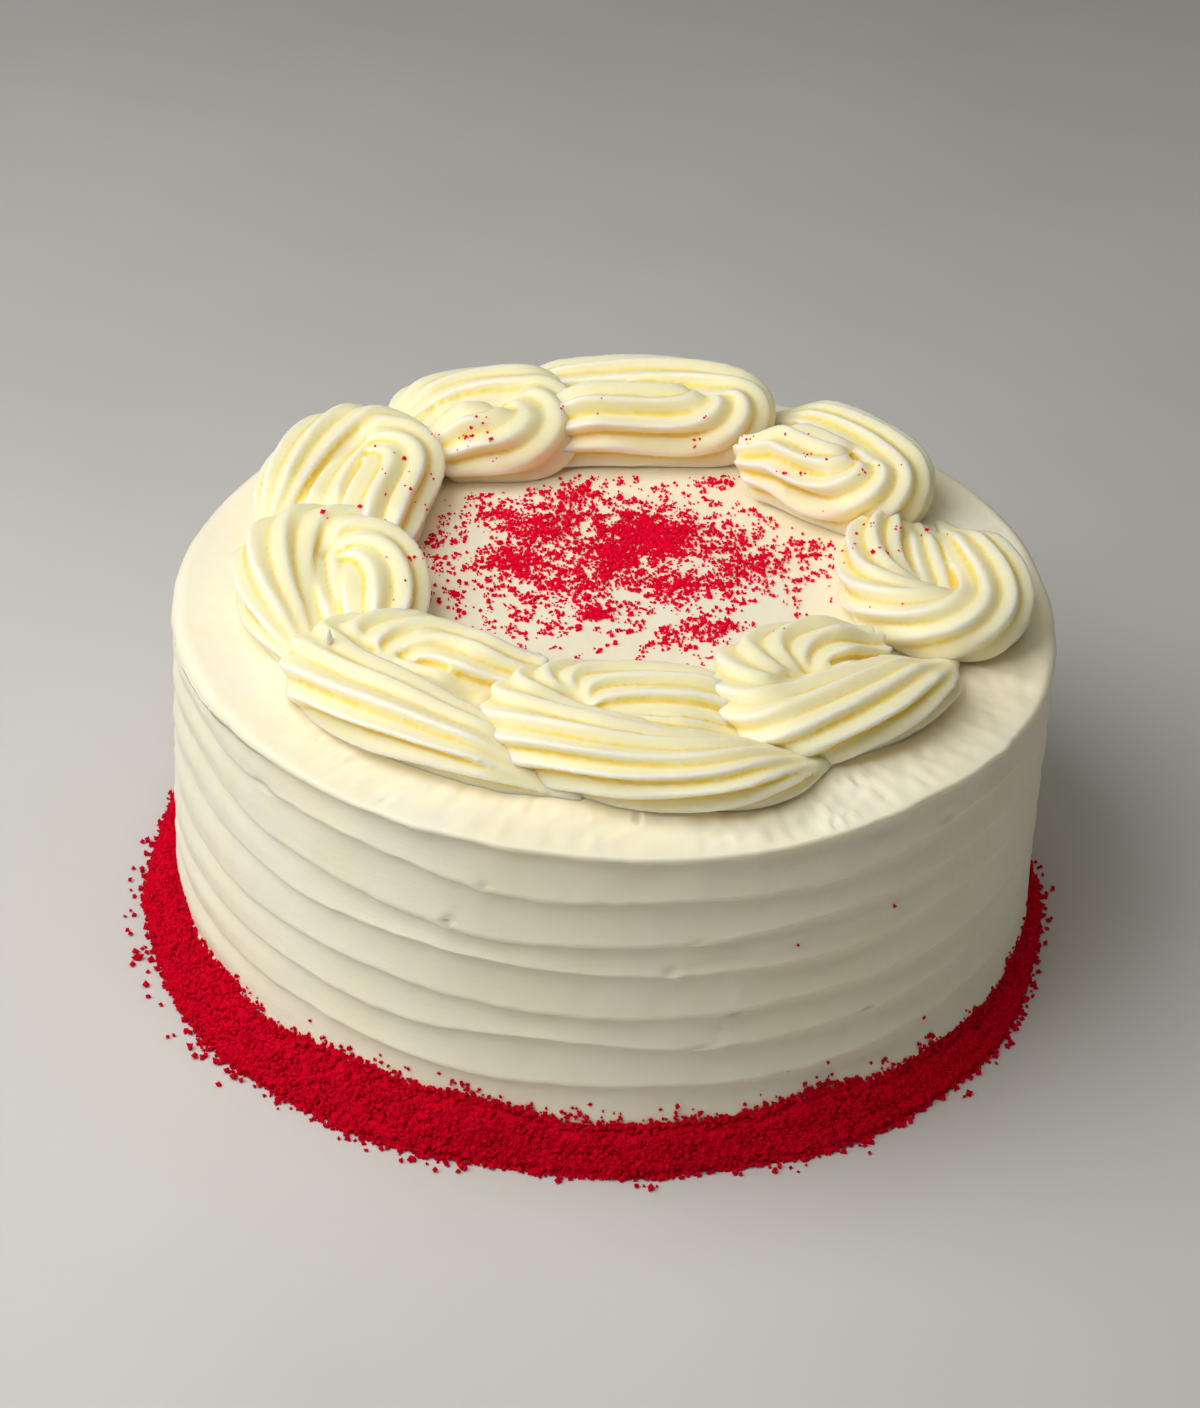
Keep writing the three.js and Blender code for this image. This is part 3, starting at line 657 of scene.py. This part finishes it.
def strand_points(s, number):
    """Sections of a strand. The star nozzle keeps its direction, so each ridge keeps its own angle."""
    place, heading, u, length = strand_path(s)
    phi = np.linspace(0, 2 * math.pi, SECTION_POINTS, endpoint=False)[None, :]
    first = math.radians(s["angle"] + 90 + s["turn"])
    run = (u * length)[:, None]
    sway = np.stack([noise(run[:, 0] / 13, number, seed=seed) for seed in (31, 32)], -1)
    place = place + 0.35 * sway
    half = (half_width(s, u) * (1 + 0.025 * noise(run[:, 0] / 15, number, seed=33)))[:, None]
    high = s["tall"] * half
    beta = phi - heading[:, None]
    tooth = s["teeth"] * (phi - first)
    wander = 0.12 * noise(run / 22, np.round(tooth / (2 * math.pi)), number, seed=34)
    ridge = ridge_height(tooth + wander)
    strong = 1 + 0.14 * noise(run / 18, np.round(tooth / (2 * math.pi)) + 0.5, number, seed=35)
    bend = np.clip(np.abs(np.gradient(heading, u * length))[:, None] * half, 0, 1)
    above = FOOT_RELIEF + (1 - FOOT_RELIEF) * smooth((1 - np.cos(beta)) / 0.8)
    out = half * (1 - GROOVE_DEPTH * above * (1 - BEND_SOFTENING * bend) * (1 - ridge * strong))
    peak = np.clip((u[:, None] - 0.93) / 0.07, 0, 1) ** 2 if number == 9 else 0 * u[:, None]
    left = np.sin(beta) * out * (1 - 0.5 * peak)
    along = np.cos(beta) * out * NOZZLE_LEAN
    share = (1 - np.cos(beta) * out / half) / 2
    flat = np.where(share < 0.5, 0.5 * (np.clip(share, 0, 1) / 0.5) ** 1.7, share)
    lift = STRAND_RISE * u[:, None] * (1 - 0.8 * smooth((u[:, None] - 0.8) / 0.2))
    up = high * flat + lift * smooth(share / 0.45)
    up = up + peak * smooth(share / 0.5) * (PEAK_HEIGHT - lift - high)
    x = place[:, :1] + along * np.cos(heading)[:, None] - left * np.sin(heading)[:, None]
    y = place[:, 1:] + along * np.sin(heading)[:, None] + left * np.cos(heading)[:, None]
    return np.stack([x, y, CAKE_HEIGHT - SUNK + up], -1)


def tongue_points(s, number):
    """Sections of the icing that fills a scroll's eye, between its two arms."""
    line = strand_line(s)
    turn = int(np.argmin(line[:, 0]))
    wide = sum(s["widths"]) / 2
    along = np.linspace(-s["back"] + 0.3 * wide, min(s["start"], s["reach"]) - 1, TONGUE_STATIONS)
    inner = np.interp(along, line[:turn, 0][::-1], line[:turn, 1][::-1])
    outer = np.interp(along, line[turn:, 0], line[turn:, 1])
    middle, gap = (inner + outer) / 2, outer - inner
    opening = np.sin(np.linspace(0.35, 1.57, TONGUE_STATIONS))[:, None] ** 0.5
    half = np.maximum(gap / 2 - 0.4 * wide, 3.5)[:, None] * opening
    place = on_cake(s, along, middle)
    ahead = np.gradient(place, axis=0)
    heading = np.unwrap(np.arctan2(ahead[:, 1], ahead[:, 0]))[:, None]
    phi = np.linspace(0, 2 * math.pi, SECTION_POINTS, endpoint=False)[None, :]
    ridge = ridge_height(s["teeth"] * (phi - math.radians(s["angle"] + 90 + s["turn"])))
    out = half * (1 - 0.8 * GROOVE_DEPTH * (1 - ridge))
    beta = phi - heading
    share = np.linspace(0, 1, TONGUE_STATIONS)[:, None]
    ends = 1 - TONGUE_SINK * smooth((share - TONGUE_SINK_START) / (1 - TONGUE_SINK_START))
    high = TONGUE_HEIGHT * s["tall"] * wide * ends
    left, ahead = np.sin(beta) * out, np.cos(beta) * out * 0.3
    up = high * (1 - np.cos(beta) * out / half) / 2
    x = place[:, :1] + ahead * np.cos(heading) - left * np.sin(heading)
    y = place[:, 1:] + ahead * np.sin(heading) + left * np.cos(heading)
    return np.stack([x, y, CAKE_HEIGHT - SUNK + up], -1)


def neighbours_mean(points, edges, share, rounds):
    """Laplacian smoothing."""
    count = np.bincount(edges.ravel(), minlength=len(points))[:, None]
    for _ in range(rounds):
        total = np.zeros_like(points)
        np.add.at(total, edges[:, 0], points[edges[:, 1]])
        np.add.at(total, edges[:, 1], points[edges[:, 0]])
        points = points + share * (total / np.maximum(count, 1) - points)
    return points


def remeshed(points, faces):
    """One closed skin round everything, as points in mm and quads."""
    raw = object_of("raw", mesh_of("raw", points, faces))
    modifier = raw.modifiers.new("skin", "REMESH")
    modifier.mode = "VOXEL"
    modifier.voxel_size = VOXEL * MM
    evaluated = raw.evaluated_get(bpy.context.evaluated_depsgraph_get())
    mesh = bpy.data.meshes.new_from_object(evaluated)
    found = np.zeros(len(mesh.vertices) * 3, np.float32)
    mesh.vertices.foreach_get("co", found)
    edges = np.zeros(len(mesh.edges) * 2, np.int32)
    mesh.edges.foreach_get("vertices", edges)
    corners = np.zeros(len(mesh.loops), np.int32)
    mesh.loops.foreach_get("vertex_index", corners)
    bpy.data.objects.remove(raw)
    bpy.data.meshes.remove(mesh)
    return found.reshape(-1, 3).astype(float) / MM, edges.reshape(-1, 2), corners.reshape(-1, 4)


def closed_tube(rings, start_out, end_out):
    """Points and triangles of a tube through the rings, with rounded ends."""
    centre = rings.mean(1)
    caps = []
    for at, near, out in ((0, 3, start_out), (-1, -4, end_out)):
        ahead = centre[at] - centre[near]
        ahead /= np.linalg.norm(ahead)
        spokes = rings[at] - centre[at]
        turns = [math.radians(t) for t in (25, 50, 75)]
        caps.append([centre[at] + spokes * math.cos(t) + ahead * math.sin(t) * out for t in turns])
    rings = np.concatenate([caps[0][::-1], rings, caps[1]])
    rings[:, :, 2] = np.maximum(rings[:, :, 2], CAKE_HEIGHT - SUNK)
    rows, columns = rings.shape[:2]
    faces = grid_faces(rows, columns)[:, ::-1]
    quads = np.concatenate([faces[:, [0, 1, 2]], faces[:, [0, 2, 3]]])
    j = np.arange(columns)
    k = (j + 1) % columns
    base = rows * columns
    last = base - columns
    start = np.stack([j, k, np.full(columns, base)], -1)
    stop = np.stack([last + k, last + j, np.full(columns, base + 1)], -1)
    points = np.concatenate([rings.reshape(-1, 3), [rings[0].mean(0), rings[-1].mean(0)]])
    return points, np.concatenate([quads, start, stop])


def scroll_mesh(s, number):
    start_out, end_out = 0.35 * half_width(s, 0), 0.3 * half_width(s, 1)
    strand, strand_faces = closed_tube(strand_points(s, number), start_out, end_out)
    tongue, tongue_faces = closed_tube(tongue_points(s, number), 1.5, 1.0)
    points = np.concatenate([strand, tongue])
    points, edges, faces = remeshed(points, np.concatenate([strand_faces, tongue_faces + len(strand)]))
    points = neighbours_mean(points, edges, 0.5, 2)
    points[:, 2] = np.maximum(points[:, 2], CAKE_HEIGHT - 0.25)
    return points, faces


# ------------------------------------------------------------------ the crumbs


CORNERS = np.array([(1, 0, 0), (0, 1, 0), (0, 0, 1), (-1, 0, 0), (0, -1, 0), (0, 0, -1)], float)


def corner_faces():
    """The eight triangles of an octahedron, turned outwards."""
    found = []
    for sides in range(8):
        a, b, c = (k + 3 * ((sides >> k) & 1) for k in range(3))
        normal = np.cross(CORNERS[b] - CORNERS[a], CORNERS[c] - CORNERS[a])
        outwards = np.dot(normal, CORNERS[a] + CORNERS[b] + CORNERS[c]) > 0
        found.append((a, b, c) if outwards else (a, c, b))
    return np.array(found)


def grains_mesh(name, places, sizes):
    """A small uneven lump at each place, sizes being their mean diameters."""
    count = len(places)
    faces = corner_faces()
    shapes = CORNERS[None] * (1.2 + 0.35 * random.uniform(-1, 1, (count, 6, 1)))
    shapes = shapes + 0.25 * random.uniform(-1, 1, (count, 6, 3))
    quaternion = random.normal(size=(count, 4))
    quaternion /= np.linalg.norm(quaternion, axis=1, keepdims=True)
    w, x, y, z = quaternion.T
    turn = np.stack(
        [
            np.stack([1 - 2 * (y * y + z * z), 2 * (x * y - z * w), 2 * (x * z + y * w)], -1),
            np.stack([2 * (x * y + z * w), 1 - 2 * (x * x + z * z), 2 * (y * z - x * w)], -1),
            np.stack([2 * (x * z - y * w), 2 * (y * z + x * w), 1 - 2 * (x * x + y * y)], -1),
        ],
        1,
    )
    shapes = np.einsum("nij,nkj->nki", turn, shapes) * (sizes / 2)[:, None, None]
    points = (shapes + places[:, None]).reshape(-1, 3)
    points[:, 2] = np.maximum(points[:, 2], 0)
    every = (faces[None] + 6 * np.arange(count)[:, None, None]).reshape(-1, 3)
    return mesh_of(name, points, every)


def band_section(angle, shrink=0.0):
    """Foot and height of the crumb band at angles in radians."""
    foot = CRUMB_FOOT + waves(np.degrees(angle), CRUMB_FOOT_WAVES)
    high = CRUMB_HEIGHT + waves(np.degrees(angle), CRUMB_HEIGHT_WAVES)
    return foot - shrink, high - shrink


def band_profile(angle, share, shrink=0.0):
    """Distance out and height of the band's outer surface, share 0 at the foot and 1 at the top edge."""
    foot, high = band_section(angle, shrink)
    knots = (0, 0.12, 0.52, 0.9, 1)
    shoulder = np.minimum(1.5 * CRUMB_TOP_WIDTH, 0.5 * foot)
    outs = (foot, foot - 0.4, 0.68 * foot, shoulder, 0.5 * CRUMB_TOP_WIDTH + 0 * foot)
    ups = (0 * high, 2.2 + 0 * high, 0.5 * high, 0.9 * high, high)
    out, up = np.zeros_like(foot + share), np.zeros_like(foot + share)
    for k in range(4):
        t = np.clip((share - knots[k]) / (knots[k + 1] - knots[k]), 0, 1)
        inside = (share >= knots[k]) & (share <= knots[k + 1])
        out = np.where(inside, outs[k] + (outs[k + 1] - outs[k]) * t, out)
        up = np.where(inside, ups[k] + (ups[k + 1] - ups[k]) * t, up)
    return out, up


def band_mesh():
    """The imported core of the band, with grainy relief."""
    columns, rows = BAND_COLUMNS, BAND_ROWS
    angle = np.linspace(0, 2 * math.pi, columns, endpoint=False)[None, :]
    share = np.linspace(0, 1, rows)[:, None]
    out, up = band_profile(angle, share, 0.9)
    radius = BASE_RADIUS + 0.2 + out
    x, y = radius * np.cos(angle), radius * np.sin(angle)
    lump = 0.6 * noise(x / 1.1, y / 1.1, up / 1.1, seed=41)
    lump = lump + 0.45 * noise(x / 2.8, y / 2.8, up / 2.8, seed=42)
    free = smooth(share / 0.06)
    radius = radius + lump * 0.8
    up = np.maximum(up + lump * 0.7 * free * (1 - 0.5 * smooth((share - 0.9) / 0.1)), 0) * (share > 0)
    inner = np.full(angle.shape, BASE_RADIUS - 2.5)
    radius = np.concatenate([inner, radius, inner])
    up = np.concatenate([0 * inner, up, up[-1:] + 0.3])
    rows += 2
    c, s = np.cos(angle), np.sin(angle)
    points = np.stack([radius * c, radius * s, up], -1).reshape(-1, 3)
    faces = grid_faces(rows, columns)
    closing = np.stack(
        [
            (rows - 1) * columns + np.arange(columns),
            (rows - 1) * columns + (np.arange(columns) + 1) % columns,
            (np.arange(columns) + 1) % columns,
            np.arange(columns),
        ],
        -1,
    )
    return mesh_of("crumb_band_visual", points, np.concatenate([faces, closing]))


def side_hits(tree, angle, height):
    """The side's real radius at angles in radians and heights, measured inwards from outside."""
    found = []
    for a, z in zip(angle, height):
        out = Vector((math.cos(a), math.sin(a), 0))
        hit = tree.ray_cast(Vector((130 * out.x, 130 * out.y, z)), -out)[0]
        found.append(math.hypot(hit.x, hit.y) if hit else side_radius(z))
    return np.array(found)


def band_grains(tree):
    """Places and sizes of the loose grains over the band, at its ragged top edge and before its foot."""
    count = BAND_GRAINS
    angle = random.uniform(0, 2 * math.pi, count)
    share = random.uniform(0.0, 1.0, count)
    sizes = random.choice(GRAIN_SIZES, count, p=GRAIN_SIZE_SHARES)
    sizes = sizes * random.uniform(0.85, 1.15, count)
    out, up = band_profile(angle, share, 0.4)
    places = [np.stack([BASE_RADIUS + out, angle, np.maximum(up, sizes * 0.35)], -1)]
    # the ragged top edge: grains that stick to the frosting above the band
    edge = int(count * EDGE_SHARE)
    where = random.uniform(0, 2 * math.pi, edge)
    patchy = 0.85 + 0.8 * noise(where * 16, 0.3, seed=51) + 0.5 * noise(where * 60, 0.9, seed=53)
    patchy = np.maximum(patchy, 0.15)
    above = random.exponential(1.0, edge) * patchy + random.uniform(-1.6, 0.4, edge)
    above = np.minimum(above, 4)
    size = random.uniform(0.55, 1.3, edge)
    high = band_section(where)[1] + above
    places.append(np.stack([side_hits(tree, where, high) + 0.25 * size, where, high], -1))
    # the corner between the band and the frosting
    corner = int(count * CORNER_SHARE)
    at = random.uniform(0, 2 * math.pi, corner)
    height = band_section(at)[1] + random.uniform(-1.1, 0.7, corner)
    grain = random.uniform(0.8, 1.5, corner)
    places.append(np.stack([side_hits(tree, at, height) + random.uniform(0.1, 1.3, corner), at, height], -1))
    # in front of the foot
    loose = int(count * LOOSE_SHARE)
    at = random.uniform(0, 2 * math.pi, loose)
    foot = band_section(at)[0]
    away = random.exponential(0.75, loose) * (1 + 0.8 * noise(at * 14, 1.3, seed=52)) - 0.5
    away = np.clip(away, -0.8, 4.2)
    grit = random.uniform(0.7, 1.7, loose)
    places.append(np.stack([BASE_RADIUS + foot + away, at, grit * 0.34], -1))
    # a few that rolled away on the left
    few = ROLLED_AWAY
    roll = np.radians(random.normal(206, 11, few))
    far = random.uniform(1.5, 6.5, few)
    big = random.uniform(0.9, 2.0, few)
    places.append(np.stack([BASE_RADIUS + band_section(roll)[0] + far, roll, big * 0.36], -1))
    polar = np.concatenate(places)
    sizes = np.concatenate([sizes, size, grain, grit, big])
    x, y = polar[:, 0] * np.cos(polar[:, 1]), polar[:, 0] * np.sin(polar[:, 1])
    specks = np.array([(0.2, math.radians(a), z) for a, z in SIDE_SPECKS])
    specks[:, 0] += side_hits(tree, specks[:, 1], specks[:, 2])
    x = np.concatenate([x, specks[:, 0] * np.cos(specks[:, 1])])
    y = np.concatenate([y, specks[:, 0] * np.sin(specks[:, 1])])
    z = np.concatenate([polar[:, 2], specks[:, 2]])
    sizes = np.concatenate([sizes, np.full(len(specks), SPECK_SIZE)])
    return np.stack([x, y, z], -1), sizes


def top_grains(trees):
    """Places and sizes of the crumbs on the top. Those over a scroll lie on it or are left out."""
    spots, sizes = [], []
    for x, y, long, wide, turn, grains in PATCHES:
        clumps = max(grains // 2, 4)
        a = random.normal(size=(clumps, 2)) * 0.7
        c, s = math.cos(math.radians(turn)), math.sin(math.radians(turn))
        middle_x = x + a[:, 0] * long * c - a[:, 1] * wide * s
        middle_y = y + a[:, 0] * long * s + a[:, 1] * wide * c
        middle = np.stack([middle_x, middle_y], -1)
        which = random.integers(0, clumps, int(1.75 * grains))
        spots.append(middle[which] + random.normal(size=(len(which), 2)) * 0.75)
        sizes.append(random.choice(CRUMB_SIZES, len(which), p=CRUMB_SIZE_SHARES))
    spots, sizes = np.concatenate(spots)[:TOP_GRAINS], np.concatenate(sizes)[:TOP_GRAINS]
    places, kept = [], []
    for (x, y), size in zip(spots, sizes):
        height = CAKE_HEIGHT + 0.05
        for tree in trees:
            hit = tree.ray_cast(Vector((x, y, 130)), Vector((0, 0, -1)))[0]
            if hit is not None:
                height = max(height, hit.z)
        if height > CAKE_HEIGHT + 1 and random.uniform() > CRUMBS_ON_SCROLLS:
            continue
        places.append((x, y, height + 0.25 * size))
        kept.append(size)
    return np.array(places), np.array(kept)


# ------------------------------------------------------------------ everything together

frosting = frosting_material()
piping = piping_material()
# the band's crumb material is a darker copy of the top crumbs' material, with painted shade
shaded_band_crumbs = crumb_material("shaded_band_crumbs", SHADED_BAND_RED, SHADED_BAND_DARK)
top_crumbs = crumb_material("top_crumbs", TOP_RED, TOP_DARK)

points, faces = cake_mesh()
piece_of("cake_body_visual", mesh_of("cake_body_visual", points, faces), frosting, "cake_body")
cake_tree = BVHTree.FromPolygons(points.tolist(), faces.tolist())

trees = []
for number, (name, s) in enumerate(SCROLLS.items(), 1):
    points, faces = scroll_mesh(s, number)
    piece_of(name + "_visual", mesh_of(name + "_visual", points, faces), piping, name)
    trees.append(BVHTree.FromPolygons(points.tolist(), faces.tolist()))

piece_of("crumb_band_visual", band_mesh(), shaded_band_crumbs, "crumb_band")
mesh = grains_mesh("band_grains", *band_grains(cake_tree))
piece_of("band_grains", mesh, shaded_band_crumbs, smooth_shaded=False)
mesh = grains_mesh("top_crumbs", *top_grains(trees))
piece_of("top_crumbs", mesh, top_crumbs, smooth_shaded=False)

# ------------------------------------------------------------------ floor, light and camera

FLOOR_HALF = 3000
floor_corners = [(x * FLOOR_HALF, y * FLOOR_HALF, 0) for x, y in ((-1, -1), (1, -1), (1, 1), (-1, 1))]
floor = object_of("floor", mesh_of("floor", floor_corners, [(0, 1, 2, 3)]), floor_material())


LIGHT_AIM = (0, 0, 0.06)
WORLD_COLOUR = (0.97, 0.98, 1.0, 1)
WORLD_STRENGTH = 0.03


def area_light(name, place, size, watts, colour):
    data = bpy.data.lights.new(name, "AREA")
    data.shape = "SQUARE"
    data.size = size
    data.energy = watts
    data.color = colour
    made = bpy.data.objects.new(name, data)
    bpy.context.scene.collection.objects.link(made)
    made.location = place
    made.rotation_euler = (Vector(LIGHT_AIM) - Vector(place)).to_track_quat("-Z", "Y").to_euler()
    return made


area_light("window", (-0.46, -0.18, 0.66), 0.8, 7.0, (1.0, 0.985, 0.95))
area_light("overhead", (0.15, 0.1, 1.1), 0.9, 2.2, (1.0, 0.95, 0.80))
area_light("fill", (0.75, -1.05, 0.16), 1.0, 2.1, (1.0, 0.965, 0.84))

world = bpy.data.worlds.new("world")
bpy.context.scene.world = world
world.use_nodes = True
world.node_tree.nodes["Background"].inputs["Color"].default_value = WORLD_COLOUR
world.node_tree.nodes["Background"].inputs["Strength"].default_value = WORLD_STRENGTH

EYE = (0.01155, -0.6730, 0.5115)
YAW, PITCH, ROLL = -0.0209, 0.5995, 0.0499
FOCAL_PIXELS = 3351.6
IMAGE_HEIGHT = 1408
SENSOR = 36
ahead = Vector((math.sin(YAW) * math.cos(PITCH), math.cos(YAW) * math.cos(PITCH), -math.sin(PITCH)))
right = Vector((math.cos(YAW), -math.sin(YAW), 0))
up = right.cross(ahead)
right, up = math.cos(ROLL) * right + math.sin(ROLL) * up, -math.sin(ROLL) * right + math.cos(ROLL) * up
camera = bpy.data.objects.new("camera", bpy.data.cameras.new("camera"))
bpy.context.scene.collection.objects.link(camera)
camera.matrix_world = Matrix((right, up, -ahead)).transposed().to_4x4()
camera.location = EYE
camera.data.sensor_width = SENSOR
camera.data.lens = FOCAL_PIXELS / IMAGE_HEIGHT * SENSOR
camera.data.clip_start = 0.01
bpy.context.scene.camera = camera
bpy.context.scene.view_settings.view_transform = "Standard"
